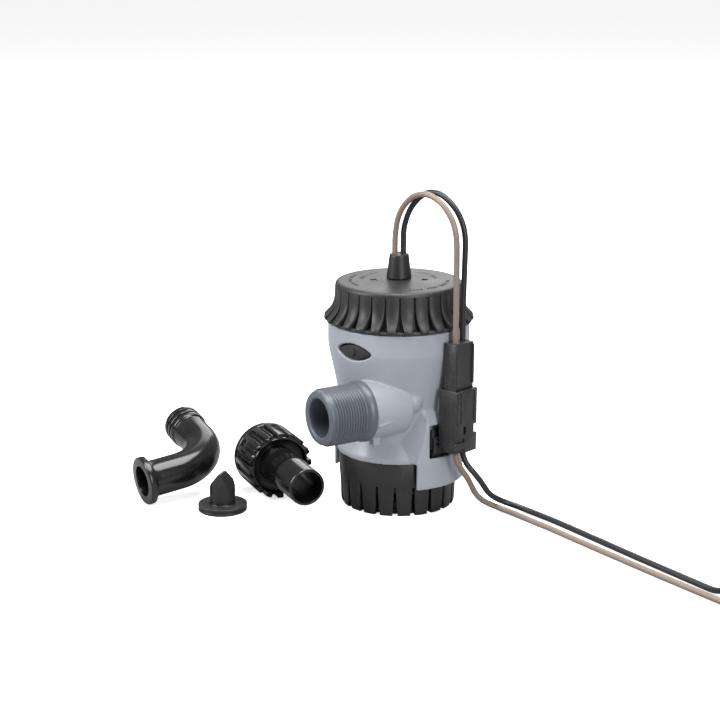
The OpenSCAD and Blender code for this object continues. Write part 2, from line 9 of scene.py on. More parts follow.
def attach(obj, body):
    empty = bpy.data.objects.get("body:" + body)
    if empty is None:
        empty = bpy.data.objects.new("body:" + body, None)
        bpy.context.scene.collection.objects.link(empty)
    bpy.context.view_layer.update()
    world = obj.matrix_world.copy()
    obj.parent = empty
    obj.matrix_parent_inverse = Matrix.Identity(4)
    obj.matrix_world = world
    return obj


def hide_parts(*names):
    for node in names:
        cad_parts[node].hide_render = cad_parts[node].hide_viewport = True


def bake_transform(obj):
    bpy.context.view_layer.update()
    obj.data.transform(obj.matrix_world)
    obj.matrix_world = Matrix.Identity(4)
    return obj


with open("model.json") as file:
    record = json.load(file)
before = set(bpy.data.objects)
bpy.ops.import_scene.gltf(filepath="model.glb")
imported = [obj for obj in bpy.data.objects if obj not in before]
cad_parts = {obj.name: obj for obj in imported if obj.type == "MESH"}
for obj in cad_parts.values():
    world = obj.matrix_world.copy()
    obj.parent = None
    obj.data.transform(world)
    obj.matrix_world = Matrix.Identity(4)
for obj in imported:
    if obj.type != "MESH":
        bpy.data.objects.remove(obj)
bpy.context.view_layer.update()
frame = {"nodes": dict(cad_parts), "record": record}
nodes = frame["nodes"]


# ---- Camera, floor and light ----
# A pale matt table under four soft boxes, with the pump on it turned so that its
# outlet points to the lower left. The table looks white but lends little light.

MM = 0.001
view_azimuth = math.radians(58)
view_elevation = math.radians(15)
view_distance = 0.88
view_target = (-0.0197, 0.0742)

back = Vector((math.sin(view_azimuth) * math.cos(view_elevation),
               -math.cos(view_azimuth) * math.cos(view_elevation),
               math.sin(view_elevation)))
right = Vector((math.cos(view_azimuth), math.sin(view_azimuth), 0))
target = right * view_target[0] + Vector((0, 0, view_target[1]))


def looking(position, aim):
    away = (Vector(position) - Vector(aim)).normalized()
    side = Vector((0, 0, 1)).cross(away).normalized()
    turn = Matrix((side, away.cross(side), away)).transposed().to_4x4()
    return Matrix.Translation(position) @ turn


camera_data = bpy.data.cameras.new("camera")
camera_data.sensor_width = 36
camera_data.lens = 86
camera_data.clip_start = 0.05
camera_data.clip_end = 20
camera = bpy.data.objects.new("camera", camera_data)
camera.matrix_world = looking(target + back * view_distance, target)
bpy.context.scene.collection.objects.link(camera)
bpy.context.scene.camera = camera
bpy.context.scene.view_settings.view_transform = "Standard"


def deselect():
    if bpy.context.mode != "OBJECT":
        bpy.ops.object.mode_set(mode="OBJECT")
    bpy.ops.object.select_all(action="DESELECT")


def plain_material(name):
    material = bpy.data.materials.new(name)
    material.use_nodes = True
    tree = material.node_tree
    shader = tree.nodes["Principled BSDF"]
    return material, tree, shader


def split_by_camera(tree, unseen, seen, output):
    """Joins two shaders: one for what the camera sees, one for light and reflections."""
    paths = tree.nodes.new("ShaderNodeLightPath")
    choice = tree.nodes.new("ShaderNodeMixShader")
    tree.links.new(paths.outputs["Is Camera Ray"], choice.inputs["Fac"])
    tree.links.new(unseen, choice.inputs[1])
    tree.links.new(seen, choice.inputs[2])
    tree.links.new(choice.outputs["Shader"], tree.nodes[output].inputs["Surface"])


table_size = 40
table_glow = 0.66
room_light = 0.26

deselect()
bpy.ops.mesh.primitive_grid_add(x_subdivisions=2, y_subdivisions=2, size=table_size, location=(0, 0, 0))
floor = bpy.context.object
floor.name = "table_top"
floor_paint, floor_tree, floor_shader = plain_material("table_white")
floor_shader.inputs["Base Color"].default_value = (0.93, 0.93, 0.935, 1)
floor_shader.inputs["Roughness"].default_value = 0.9
floor_shader.inputs["Specular IOR Level"].default_value = 0.2
floor_shader.inputs["Emission Color"].default_value = (1, 1, 1, 1)
floor_shader.inputs["Emission Strength"].default_value = table_glow
floor_under = floor_tree.nodes.new("ShaderNodeBsdfDiffuse")
floor_under.inputs["Color"].default_value = (0.34, 0.34, 0.35, 1)
split_by_camera(floor_tree, floor_under.outputs["BSDF"], floor_shader.outputs["BSDF"], "Material Output")
floor.data.materials.append(floor_paint)

world = bpy.data.worlds.new("studio")
world.use_nodes = True
room = world.node_tree.nodes["Background"]
room.inputs["Color"].default_value = (1, 1, 1, 1)
room.inputs["Strength"].default_value = room_light
backdrop = world.node_tree.nodes.new("ShaderNodeBackground")
backdrop.inputs["Color"].default_value = (1, 1, 1, 1)
split_by_camera(world.node_tree, room.outputs["Background"], backdrop.outputs["Background"], "World Output")
bpy.context.scene.world = world


def softbox(name, position, aim, size, power):
    data = bpy.data.lights.new(name, "AREA")
    data.shape = "RECTANGLE"
    data.size, data.size_y = size
    data.energy = power
    light = bpy.data.objects.new(name, data)
    light.matrix_world = looking(position, aim)
    bpy.context.scene.collection.objects.link(light)


softbox("overhead", (0.05, 0.1, 1.3), (0, 0, 0.05), (1.0, 1.0), 26)
softbox("front_left", (-0.35, -1.15, 0.75), (0, 0, 0.05), (0.4, 0.9), 16)
softbox("front_right", (1.3, -0.1, 0.6), (0, 0, 0.06), (0.35, 0.9), 11)
softbox("behind", (-0.9, 0.7, 0.7), (0, 0, 0.06), (0.6, 0.8), 4)


# ---- Wires ----
# Stranded copper in smooth PVC, one brown and one black wire of 3 mm. Two leads
# loop from the cap down to the plug; two supply wires run off along the table
# and end, bared, in a tied coil.

wire_r = 1.5 * MM
plug_angle = math.radians(14)
plug_turn = Matrix.Rotation(plug_angle, 3, "Z")

lead_brown_route = [
    (-1.5, -1.5, 129.7), (-1.5, -1.5, 134), (-1.2, -1.5, 140), (0.6, -1.6, 148), (4.4, -1.7, 154.5),
    (10, -1.8, 159.5), (15, -1.9, 161.6), (19.5, -2, 162.2), (24.5, -2.1, 161.4), (29.8, -2.2, 159),
    (34, -2.4, 155.5), (37.5, -2.5, 151), (39.5, -2.6, 146), (40.4, -2.6, 140), (40.6, -2.6, 127),
    (40.6, -2.6, 112), (40.6, -2.6, 100), (40.6, -2.6, 91)]
lead_black_route = [
    (1.4, 1.6, 129.7), (1.4, 1.6, 134), (1.7, 1.6, 142), (3.5, 1.7, 148.2), (6.2, 1.8, 153.4),
    (9.8, 1.9, 157.6), (14, 2, 160.9), (18.7, 2.1, 162.7), (23.7, 2.2, 162.8), (28.6, 2.3, 161),
    (33.5, 2.4, 157.6), (37.3, 2.5, 153.4), (39.9, 2.6, 148.4), (41.2, 2.6, 143), (41.4, 2.6, 137),
    (41, 2.6, 122), (40.7, 2.6, 112), (40.6, 2.6, 100), (40.6, 2.6, 91)]
supply_brown_route = [
    (41.2, 7.6, 34.8), (41.3, 7.8, 32), (41.6, 8.9, 28.5), (41.9, 11.2, 24.6), (41.9, 14.2, 20.4),
    (41.5, 17, 16), (41.2, 19.8, 11.2), (41.7, 22.8, 7.6), (42.7, 26.2, 5), (45, 30, 2.9),
    (51, 33.4, 1.6), (62, 34.6, 1.5), (73, 35.6, 1.5), (84, 36.5, 1.5), (98, 37.2, 1.5),
    (120, 38.5, 1.5), (145, 40, 1.5), (170, 41.8, 1.5), (195, 43.8, 1.5), (204, 44.7, 1.5)]
supply_black_route = [
    (39.9, 12.6, 34.8), (40.2, 12.8, 32), (41.3, 13.5, 28.8), (43, 14.9, 25.7), (44.6, 17, 22.6),
    (45.6, 19.6, 18.9), (45.8, 22.2, 15.2), (45.8, 25, 11.4), (45.5, 29.3, 8), (46.3, 34.5, 5),
    (50, 39.2, 3), (57, 42.6, 1.7), (67, 44, 1.5), (78, 44.9, 1.5), (89, 45.4, 1.5),
    (112, 46.3, 1.5), (137, 47.3, 1.5), (162, 48.6, 1.5), (182, 49.6, 1.6), (192, 49.6, 4.2),
    (201, 48.6, 7)]


lowest, highest = 1.5, 162.77


def smooth_path(points, steps=6):
    """Points of a smooth curve through the route's points, from table to top of loop."""
    p = [Vector(q) for q in points]
    p = [2 * p[0] - p[1]] + p + [2 * p[-1] - p[-2]]
    out = []
    for i in range(1, len(p) - 2):
        a, b, c, d = p[i - 1:i + 3]
        for k in range(steps):
            t = k / steps
            out.append(0.5 * (2 * b + (c - a) * t + (2 * a - 5 * b + 4 * c - d) * t * t
                              + (3 * b - 3 * c + d - a) * t ** 3))
    return [Vector((q.x, q.y, min(max(q.z, lowest), highest))) for q in out] + [p[-2]]


def coil_path(z_low):
    """Turns of 21 to 12 mm radius on the lower layer, then back out on the upper one."""
    centre = Vector((218, 66, 0))
    radii = (21, 18, 15, 12, 12, 15, 18, 21)
    jog_start, jog_end = 0.8, 0.97
    points = []
    for k in range(1, 174):
        turn, share = divmod(k / 24, 1)
        turn = int(turn)
        s = min(max((share - jog_start) / (jog_end - jog_start), 0), 1)
        s = s * s * (3 - 2 * s)
        after = radii[min(turn + 1, 7)]
        radius = radii[turn] + (after - radii[turn]) * s
        lift = 0 if turn < 3 else 3
        if turn == 3:
            radius -= 1.2 * math.sin(math.pi * s)
            lift = 3 * s
        angle = -math.pi / 2 + 2 * math.pi * share
        points.append(centre + Vector((radius * math.cos(angle), radius * math.sin(angle), z_low + 1.5 + lift)))
    return points + [Vector((239.2, 63, z_low + 4.5)), Vector((240.2, 67, z_low + 4.5))]


def wire_curve(name, points, radius):
    data = bpy.data.curves.new(name, "CURVE")
    data.dimensions = "3D"
    data.bevel_depth = radius
    data.bevel_resolution = 3
    data.use_fill_caps = True
    spline = data.splines.new("POLY")
    spline.points.add(len(points) - 1)
    for point, place in zip(spline.points, points):
        point.co = (*place, 1)
    wire = bpy.data.objects.new(name, data)
    bpy.context.scene.collection.objects.link(wire)
    return wire


def in_metres(points):
    return [Vector(p) * MM for p in points]


def vinyl_noise(tree, scale, low, high):
    """Soft variation of tone or roughness over a smooth extruded skin."""
    place = tree.nodes.new("ShaderNodeTexCoord")
    noise = tree.nodes.new("ShaderNodeTexNoise")
    noise.inputs["Scale"].default_value = scale
    noise.inputs["Detail"].default_value = 4
    spread = tree.nodes.new("ShaderNodeMapRange")
    spread.inputs["To Min"].default_value = low
    spread.inputs["To Max"].default_value = high
    tree.links.new(place.outputs["Object"], noise.inputs["Vector"])
    tree.links.new(noise.outputs["Fac"], spread.inputs["Value"])
    return noise, spread


def vinyl(name, colour, dark):
    """Extruded PVC insulation: satin, with faint rubbed and dusty stretches."""
    material, tree, shader = plain_material(name)
    noise, rough = vinyl_noise(tree, 260, 0.32, 0.48)
    mottle, share = vinyl_noise(tree, 90, 0, 1)
    mix = tree.nodes.new("ShaderNodeMix")
    mix.data_type = "RGBA"
    mix.inputs["A"].default_value = (*dark, 1)
    mix.inputs["B"].default_value = (*colour, 1)
    tree.links.new(share.outputs["Result"], mix.inputs["Factor"])
    tree.links.new(mix.outputs["Result"], shader.inputs["Base Color"])
    tree.links.new(rough.outputs["Result"], shader.inputs["Roughness"])
    bump = tree.nodes.new("ShaderNodeBump")
    bump.inputs["Strength"].default_value = 0.12
    bump.inputs["Distance"].default_value = 0.0002
    tree.links.new(noise.outputs["Fac"], bump.inputs["Height"])
    tree.links.new(bump.outputs["Normal"], shader.inputs["Normal"])
    return material


brown_vinyl = vinyl("brown_vinyl", (0.24, 0.185, 0.15), (0.2, 0.152, 0.122))
black_vinyl = vinyl("black_vinyl", (0.016, 0.016, 0.018), (0.010, 0.010, 0.012))

for colour, route, z_low, paint in (("brown", supply_brown_route, 0, brown_vinyl),
                                    ("black", supply_black_route, 6, black_vinyl)):
    path = in_metres(smooth_path(route)[:-1] + smooth_path([route[-1]] + coil_path(z_low), 2))
    wire = wire_curve(f"supply_wire_{colour}_skin", path, wire_r)
    wire.data.materials.append(paint)
    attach(wire, "root")
    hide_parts(f"supply_wire_{colour}", f"wire_coil_{colour}")

for colour, route, paint in (("brown", lead_brown_route, brown_vinyl),
                             ("black", lead_black_route, black_vinyl)):
    path = [plug_turn @ p for p in in_metres(smooth_path(route))]
    lead = wire_curve(f"lead_{colour}_skin", path, wire_r)
    lead.data.materials.append(paint)
    deselect()
    lead.select_set(True)
    bpy.context.view_layer.objects.active = lead
    bpy.ops.object.convert(target="MESH")
    bpy.ops.object.shade_smooth()
    lead = bpy.context.object
    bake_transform(lead)
    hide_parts(f"lead_{colour}")


# ---- Pump housing ----
# One grey moulded body: skirt over the strainer, tapered waist, rim at the top and
# the root of the outlet. Glass-filled plastic, satin, soft at every edge.

def node_group(name, inputs, outputs):
    group = bpy.data.node_groups.new(name, "ShaderNodeTree")
    for label, value in inputs:
        socket = group.interface.new_socket(name=label, in_out="INPUT", socket_type="NodeSocketFloat")
        socket.default_value = value
    for label in outputs:
        group.interface.new_socket(name=label, in_out="OUTPUT", socket_type="NodeSocketFloat")
    return group, group.nodes.new("NodeGroupInput"), group.nodes.new("NodeGroupOutput")


def add_noise(tree, place, scale, detail=3):
    noise = tree.nodes.new("ShaderNodeTexNoise")
    noise.inputs["Scale"].default_value = scale
    noise.inputs["Detail"].default_value = detail
    tree.links.new(place.outputs["Object"], noise.inputs["Vector"])
    return noise


def add_math(tree, operation, first, second):
    step = tree.nodes.new("ShaderNodeMath")
    step.operation = operation
    for socket, value in zip(step.inputs, (first, second)):
        if isinstance(value, (int, float)):
            socket.default_value = value
        else:
            tree.links.new(value, socket)
    return step.outputs["Value"]


def add_range(tree, value, low, high, to_low=0, to_high=1):
    step = tree.nodes.new("ShaderNodeMapRange")
    for label, number in (("From Min", low), ("From Max", high), ("To Min", to_low), ("To Max", to_high)):
        step.inputs[label].default_value = number
    tree.links.new(value, step.inputs["Value"])
    return step.outputs["Result"]


# fine spark-eroded grain of a mould, with slow flow marks under it
mould_grain, grain_in, grain_out = node_group("mould_grain", [("Fineness", 2600)], ["Height", "Mottle"])
grain_place = mould_grain.nodes.new("ShaderNodeTexCoord")
grain_fine = add_noise(mould_grain, grain_place, 2600, 2)
mould_grain.links.new(grain_in.outputs["Fineness"], grain_fine.inputs["Scale"])
grain_slow = add_noise(mould_grain, grain_place, 55, 5)
mould_grain.links.new(grain_fine.outputs["Fac"], grain_out.inputs["Height"])
mould_grain.links.new(add_range(mould_grain, grain_slow.outputs["Fac"], 0.3, 0.7), grain_out.inputs["Mottle"])

# light rubbed edges, broken up
edge_wear, wear_in, wear_out = node_group("edge_wear", [("Amount", 1)], ["Mask"])
wear_place = edge_wear.nodes.new("ShaderNodeTexCoord")
wear_shape = edge_wear.nodes.new("ShaderNodeNewGeometry")
wear_edge = add_range(edge_wear, wear_shape.outputs["Pointiness"], 0.515, 0.6)
wear_noise = add_noise(edge_wear, wear_place, 700, 4)
wear_gaps = add_range(edge_wear, wear_noise.outputs["Fac"], 0.35, 0.65)
wear_broken = add_math(edge_wear, "MULTIPLY", wear_edge, wear_gaps)
wear_mask = add_math(edge_wear, "MULTIPLY", wear_broken, wear_in.outputs["Amount"])
edge_wear.links.new(wear_mask, wear_out.inputs["Mask"])

# a thin film of dust on faces that look up
dust_film, dust_in, dust_out = node_group("dust_film", [("Amount", 1)], ["Mask"])
dust_place = dust_film.nodes.new("ShaderNodeTexCoord")
dust_shape = dust_film.nodes.new("ShaderNodeNewGeometry")
dust_split = dust_film.nodes.new("ShaderNodeSeparateXYZ")
dust_film.links.new(dust_shape.outputs["Normal"], dust_split.inputs["Vector"])
dust_up = add_range(dust_film, dust_split.outputs["Z"], 0.4, 1)
dust_noise = add_noise(dust_film, dust_place, 240, 6)
dust_gaps = add_range(dust_film, dust_noise.outputs["Fac"], 0.3, 0.75)
dust_broken = add_math(dust_film, "MULTIPLY", dust_up, dust_gaps)
dust_mask = add_math(dust_film, "MULTIPLY", dust_broken, dust_in.outputs["Amount"])
dust_film.links.new(dust_mask, dust_out.inputs["Mask"])


def add_group(tree, group, **values):
    step = tree.nodes.new("ShaderNodeGroup")
    step.node_tree = group
    for label, value in values.items():
        step.inputs[label].default_value = value
    return step


def add_mix(tree, share, first, second):
    step = tree.nodes.new("ShaderNodeMix")
    step.data_type = "RGBA"
    tree.links.new(share, step.inputs["Factor"])
    for label, value in (("A", first), ("B", second)):
        if isinstance(value, tuple):
            step.inputs[label].default_value = (*value, 1)
        else:
            tree.links.new(value, step.inputs[label])
    return step.outputs["Result"]


def moulding(name, colour, dark, worn, rough, grain, fineness=2600, wear=0.5, dust=0.15, coat=0):
    """A moulded plastic: mottled tone, grain, lighter rubbed edges and a little dust."""
    material, tree, shader = plain_material(name)
    grain_step = add_group(tree, mould_grain, Fineness=fineness)
    wear_step = add_group(tree, edge_wear, Amount=wear)
    dust_step = add_group(tree, dust_film, Amount=dust)
    tone = add_mix(tree, grain_step.outputs["Mottle"], dark, colour)
    tone = add_mix(tree, wear_step.outputs["Mask"], tone, worn)
    tone = add_mix(tree, dust_step.outputs["Mask"], tone, (0.55, 0.54, 0.52))
    tree.links.new(tone, shader.inputs["Base Color"])
    shine = add_range(tree, grain_step.outputs["Mottle"], 0, 1, rough[0], rough[1])
    tree.links.new(add_math(tree, "ADD", shine, add_math(tree, "MULTIPLY", dust_step.outputs["Mask"], 0.4)),
                   shader.inputs["Roughness"])
    bump = tree.nodes.new("ShaderNodeBump")
    bump.inputs["Strength"].default_value = grain
    bump.inputs["Distance"].default_value = 0.0001
    tree.links.new(grain_step.outputs["Height"], bump.inputs["Height"])
    tree.links.new(bump.outputs["Normal"], shader.inputs["Normal"])
    shader.inputs["Coat Weight"].default_value = coat
    shader.inputs["Coat Roughness"].default_value = 0.12
    return material


def active(piece):
    deselect()
    piece.select_set(True)
    bpy.context.view_layer.objects.active = piece


def apply_modifier(piece, kind, **settings):
    active(piece)
    modifier = piece.modifiers.new(kind.lower(), kind)
    for label, value in settings.items():
        setattr(modifier, label, value)
    bpy.ops.object.modifier_apply(modifier=modifier.name)


def merged_copy(node, name):
    """A copy of a CAD node's mesh with its loose triangles welded into one skin."""
    piece = nodes[node].copy()
    piece.data = nodes[node].data.copy()
    piece.name = name
    bpy.context.scene.collection.objects.link(piece)
    piece.data.materials.clear()
    active(piece)
    bpy.ops.object.mode_set(mode="EDIT")
    bpy.ops.mesh.select_all(action="SELECT")
    bpy.ops.mesh.remove_doubles(threshold=0.000002)
    bpy.ops.object.mode_set(mode="OBJECT")
    return piece


def smooth_shaded(piece, degrees=38):
    active(piece)
    bpy.ops.object.shade_smooth_by_angle(angle=math.radians(degrees))


def softened(node, name, voxel, passes, keep):
    """The node's shape with every edge rounded off as a mould leaves it."""
    piece = merged_copy(node, name)
    apply_modifier(piece, "REMESH", mode="VOXEL", voxel_size=voxel * MM)
    apply_modifier(piece, "SMOOTH", factor=0.5, iterations=passes)
    apply_modifier(piece, "DECIMATE", ratio=keep)
    active(piece)
    bpy.ops.object.shade_smooth()
    return piece


def dress(piece, paint, body, slot, *stands_for):
    """Finish and body of a piece, and the CAD nodes it stands for. The material slot is not used."""
    piece.data.materials.clear()
    piece.data.materials.append(paint)
    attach(piece, body)
    if stands_for:
        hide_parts(*stands_for)


housing_grey = moulding("housing_grey", (0.335, 0.36, 0.4), (0.305, 0.33, 0.368), (0.46, 0.48, 0.52),
                        rough=(0.3, 0.44), grain=0.18, wear=0.35, dust=0.08)
housing = softened("pump_housing", "housing_shell", 0.5, 6, 0.55)
dress(housing, housing_grey, "root", "housing_grey", "pump_housing")


# ---- Outlet spigot ----
# The threaded spigot moulded on the housing: a collar, thirteen crests and a
# chamfered mouth round a plain bore.

def shaped_loop(name, points):
    """A loop of edges through the points."""
    deselect()
    bpy.ops.mesh.primitive_circle_add(vertices=len(points), radius=MM, location=(0, 0, 0))
    piece = bpy.context.object
    piece.name = name
    for vertex, point in zip(piece.data.vertices, points):
        vertex.co = point
    return piece


def placed(piece, where):
    active(piece)
    piece.data.transform(where)
    return piece


def turned(name, profile, where=Matrix.Identity(4), steps=128):
    """A profile of (radius, height) in mm, spun a full turn about its axis."""
    piece = shaped_loop(name, [(r * MM, 0, z * MM) for r, z in profile])
    active(piece)
    bpy.ops.object.mode_set(mode="EDIT")
    bpy.ops.mesh.select_all(action="DESELECT")
    shape = bmesh.from_edit_mesh(piece.data)
    on_axis = [edge for edge in shape.edges if all(abs(v.co.x) < 1e-7 for v in edge.verts)]
    for edge in on_axis:
        edge.select_set(True)
    bmesh.update_edit_mesh(piece.data)
    if on_axis:
        bpy.ops.mesh.delete(type="EDGE")
    bpy.ops.mesh.select_all(action="SELECT")
    bpy.ops.mesh.spin(steps=steps, angle=2 * math.pi, center=(0, 0, 0), axis=(0, 0, 1))
    bpy.ops.mesh.select_all(action="SELECT")
    bpy.ops.mesh.remove_doubles(threshold=0.00001)
    bpy.ops.mesh.normals_make_consistent(inside=False)
    bpy.ops.object.mode_set(mode="OBJECT")
    placed(piece, where)
    smooth_shaded(piece)
    return piece


thread_first, thread_pitch, thread_turns = 38.4, 1.5, 12
thread_profile = [
    (9.75, 33.1), (15.1, 33.1), (15.35, 33.5), (15.45, 34.5), (15.2, 36.3), (14.3, 37.6), (13.8, 38.2)]
for k in range(thread_turns):
    at = thread_first + thread_pitch * k
    thread_profile += [(13.75, at), (14.2, at + 0.3), (14.52, at + 0.55), (14.54, at + 0.75),
                       (14.45, at + 0.9), (14.0, at + 1.2), (13.75, at + 1.4)]
thread_profile += [
    (13.75, 57.3), (13.6, 57.8), (13.2, 58.3), (12.7, 58.48), (10.6, 58.48), (10.1, 58.35), (9.75, 57.9),
    (9.75, 57.2), (9.75, 56), (9.75, 46), (9.75, 35.5), (9.75, 34)]
to_outlet = Matrix.Translation((0.018, 0, 0.057)) @ Matrix.Rotation(math.radians(90), 4, "X")
spigot = turned("outlet_spigot", thread_profile, to_outlet)
# A copy of the housing grey, darkened to about a quarter as painted shade: the spigot is moulded in the same
# plastic as the housing.
spigot_shaded_grey = moulding("spigot_shaded_grey", (0.092, 0.105, 0.124), (0.078, 0.09, 0.108), (0.32, 0.34, 0.37),
                       rough=(0.3, 0.42), grain=0.2, fineness=2400, wear=0.4, dust=0.03)
dress(spigot, spigot_shaded_grey, "root", "housing_grey", "outlet_port")


# ---- Twist cap ----
# Black nylon cap of the motor cartridge. Twenty-eight wide finger ribs stand round
# it, narrowing and flaring out to the foot, with deep pockets between them.

def lofted(name, rings, filled=True):
    """A skin drawn from ring to ring of equal point counts, in mm, with filled ends."""
    piece = shaped_loop(name, [Vector(p) * MM for p in rings[0]])
    active(piece)
    bpy.ops.object.mode_set(mode="EDIT")
    bpy.ops.mesh.select_all(action="SELECT")
    if filled:
        bpy.ops.mesh.edge_face_add()
    for before, ring in zip(rings, rings[1:]):
        bpy.ops.mesh.extrude_region_move()
        shape = bmesh.from_edit_mesh(piece.data)
        for vertex in [v for v in shape.verts if v.select]:
            near = min(range(len(before)), key=lambda k: (Vector(before[k]) * MM - vertex.co).length)
            vertex.co = Vector(ring[near]) * MM
        bmesh.update_edit_mesh(piece.data)
    bpy.ops.mesh.select_all(action="SELECT")
    bpy.ops.mesh.normals_make_consistent(inside=False)
    bpy.ops.object.mode_set(mode="OBJECT")
    return piece


def copies_round(piece, count, where=Matrix.Identity(4)):
    """Copies of a piece at equal steps round an axis, each with its own mesh."""
    out = [piece]
    for k in range(1, count):
        twin = piece.copy()
        twin.data = piece.data.copy()
        bpy.context.scene.collection.objects.link(twin)
        twin.data.transform(where @ Matrix.Rotation(2 * math.pi * k / count, 4, "Z") @ where.inverted())
        out.append(twin)
    return out


def joined(name, pieces):
    deselect()
    for piece in pieces:
        piece.select_set(True)
    bpy.context.view_layer.objects.active = pieces[0]
    bpy.ops.object.join()
    pieces[0].name = name
    return pieces[0]


def rounded(piece, width, segments=2, degrees=32):
    apply_modifier(piece, "BEVEL", width=width * MM, segments=segments, limit_method="ANGLE",
                   angle_limit=math.radians(degrees), harden_normals=False)


nylon_black = moulding("nylon_black", (0.0165, 0.0165, 0.0175), (0.0125, 0.0125, 0.0135), (0.07, 0.07, 0.073),
                       rough=(0.4, 0.52), grain=0.25, fineness=2200, wear=0.4, dust=0.03)

cap_profile = [
    (0, 117.35), (8, 117.15), (24, 116.3), (29.6, 116.05), (31, 115.9), (31.7, 115.5), (32.1, 114.9), (32.25, 114),
    (31.6, 113.2), (31.1, 112.6), (31, 100), (31.6, 98), (33, 97.5), (36.2, 97.4), (36.7, 97.1), (36.75, 96.5),
    (36.3, 96.05), (31.8, 96), (31.7, 96.7), (29.6, 96.7), (29.6, 112.6), (0, 112.6)]
cap_shell = turned("cap_shell", cap_profile, steps=168)

# half width, outer radius and height of a rib, from the top down
rib_stations = [
    (3.3, 32.25, 113.9), (3.36, 32.3, 113.2), (3.36, 32.35, 111), (3.34, 32.5, 108.5), (3.26, 32.9, 106),
    (3.1, 33.7, 103.7), (2.85, 34.9, 101.7), (2.6, 36.2, 100.2), (2.35, 37.4, 99), (2.2, 38, 98.2),
    (2.05, 38.05, 97.5), (1.9, 37.7, 96.8), (1.8, 37.0, 96.35)]
rib_rings = []
inner = 30.6
for half, outer, height in rib_stations:
    rib_rings.append([
        (inner, -half, height), (outer - 0.75, -half, height), (outer - 0.25, -half + 0.16, height),
        (outer, -half + 0.55, height), (outer + 0.1, 0, height), (outer, half - 0.55, height),
        (outer - 0.25, half - 0.16, height), (outer - 0.75, half, height), (inner, half, height)])
rib = lofted("cap_rib", rib_rings)
smooth_shaded(rib, 50)
cap_ribs = copies_round(rib, 28)

# raised marks on the top: short bars in two broken rings
bars = []
for radius, first, last, count, high in ((24.6, -146, -86, 15, 0.9), (24.6, -20, 54, 18, 0.9),
                                         (18.6, -176, -126, 9, 1.2), (18.6, 66, 116, 9, 1.2)):
    for k in range(count):
        if k % 5 == 4:
            continue
        angle = math.radians(first + (last - first) * k / (count - 1))
        deselect()
        bpy.ops.mesh.primitive_cube_add(size=1, location=(0, 0, 0), scale=(2 * high * MM, 0.95 * MM, 0.5 * MM))
        bar = bpy.context.object
        bpy.ops.object.transform_apply(location=False, rotation=False, scale=True)
        rounded(bar, 0.2, 2)
        rise = 117.25 - radius * 0.040
        placed(bar, Matrix.Rotation(angle, 4, "Z") @ Matrix.Translation((radius * MM, 0, rise * MM)))
        bars.append(bar)

# two shallow pits between the marks
pit_floor, pit_inner, pit_outer, pit_half = 116.5, 11.8, 14.8, 9


def on_cap(radius, degrees):
    turn = math.radians(degrees)
    return (radius * MM * math.cos(turn), radius * MM * math.sin(turn), pit_floor * MM)


for angle in (43, 253):
    near_edge = [on_cap(pit_inner, t) for t in range(angle - pit_half, angle + pit_half + 1, 3)]
    far_edge = [on_cap(pit_outer, t) for t in range(angle + pit_half, angle - pit_half - 1, -3)]
    pit = shaped_loop("cap_pit", near_edge + far_edge)
    active(pit)
    bpy.ops.object.mode_set(mode="EDIT")
    bpy.ops.mesh.select_all(action="SELECT")
    bpy.ops.mesh.edge_face_add()
    bpy.ops.mesh.extrude_region_move(TRANSFORM_OT_translate={"value": (0, 0, 2 * MM)})
    bpy.ops.mesh.select_all(action="SELECT")
    bpy.ops.mesh.normals_make_consistent(inside=False)
    bpy.ops.object.mode_set(mode="OBJECT")
    apply_modifier(cap_shell, "BOOLEAN", object=pit, operation="DIFFERENCE", solver="EXACT")
    bpy.data.objects.remove(pit)
cap = joined("twist_cap", [cap_shell] + cap_ribs + bars)
dress(cap, nylon_black, "cartridge", "nylon_black", "cartridge_cap")


# ---- Strain relief ----
# A short tapered rubber boot in the middle of the cap that grips both leads.

rubber_black = moulding("rubber_black", (0.013, 0.013, 0.014), (0.010, 0.010, 0.011), (0.04, 0.04, 0.04),
                        rough=(0.42, 0.56), grain=0.25, fineness=1800, wear=0.2, dust=0.12)
boot_profile = [
    (0, 113.3), (4.9, 113.3), (4.9, 117.4), (6.1, 117.55), (6.35, 117.8), (6.3, 118.4), (6.0, 120.4), (5.4, 125),
    (5.0, 128.4), (4.85, 129.3), (4.55, 129.68), (3.4, 129.7), (3.15, 129.3), (0, 129.2)]
boot = turned("lead_boot", boot_profile, steps=64)
dress(boot, rubber_black, "cartridge", "rubber_black", "strain_relief")


# ---- Strainer and its latches ----
# Black nylon basket that is screwed to the bilge floor; water enters through the
# slots round its wall. Two springy arms clip the housing to it.

def edged_copy(node, name, width, segments=2):
    """The node's shape with a small moulded radius along its sharp edges."""
    piece = merged_copy(node, name)
    active(piece)
    bpy.ops.object.mode_set(mode="EDIT")
    bpy.ops.mesh.select_all(action="SELECT")
    bpy.ops.mesh.dissolve_limited(angle_limit=math.radians(0.6))
    bpy.ops.object.mode_set(mode="OBJECT")
    rounded(piece, width, segments)
    smooth_shaded(piece)
    return piece


strainer_black = moulding("strainer_black", (0.0155, 0.0155, 0.0165), (0.0115, 0.0115, 0.0125), (0.07, 0.07, 0.07),
                          rough=(0.34, 0.48), grain=0.22, fineness=2000, wear=0.4, dust=0.05)
strainer = edged_copy("strainer_base", "strainer_basket", 0.22)
dress(strainer, strainer_black, "root", "nylon_black", "strainer_base")
for side in ("right", "left"):
    arm = edged_copy(f"strainer_latch_{side}", f"latch_arm_{side}", 0.2)
    dress(arm, strainer_black, f"latch_{side}", "nylon_black", f"strainer_latch_{side}")


# ---- Cartridge lock tab ----
# A springy black tab behind the almond window; pressing it in frees the cap so
# that the cartridge can be twisted out.

tab = edged_copy("cartridge_lock_tab", "lock_tab_pad", 0.2)
dress(tab, nylon_black, "lock_tab", "nylon_black", "cartridge_lock_tab")


# ---- Connector ----
# A sealed two-way plug and socket of black nylon, slid onto a rail on the side of
# the housing. Rubber seals grip the wires where they enter.

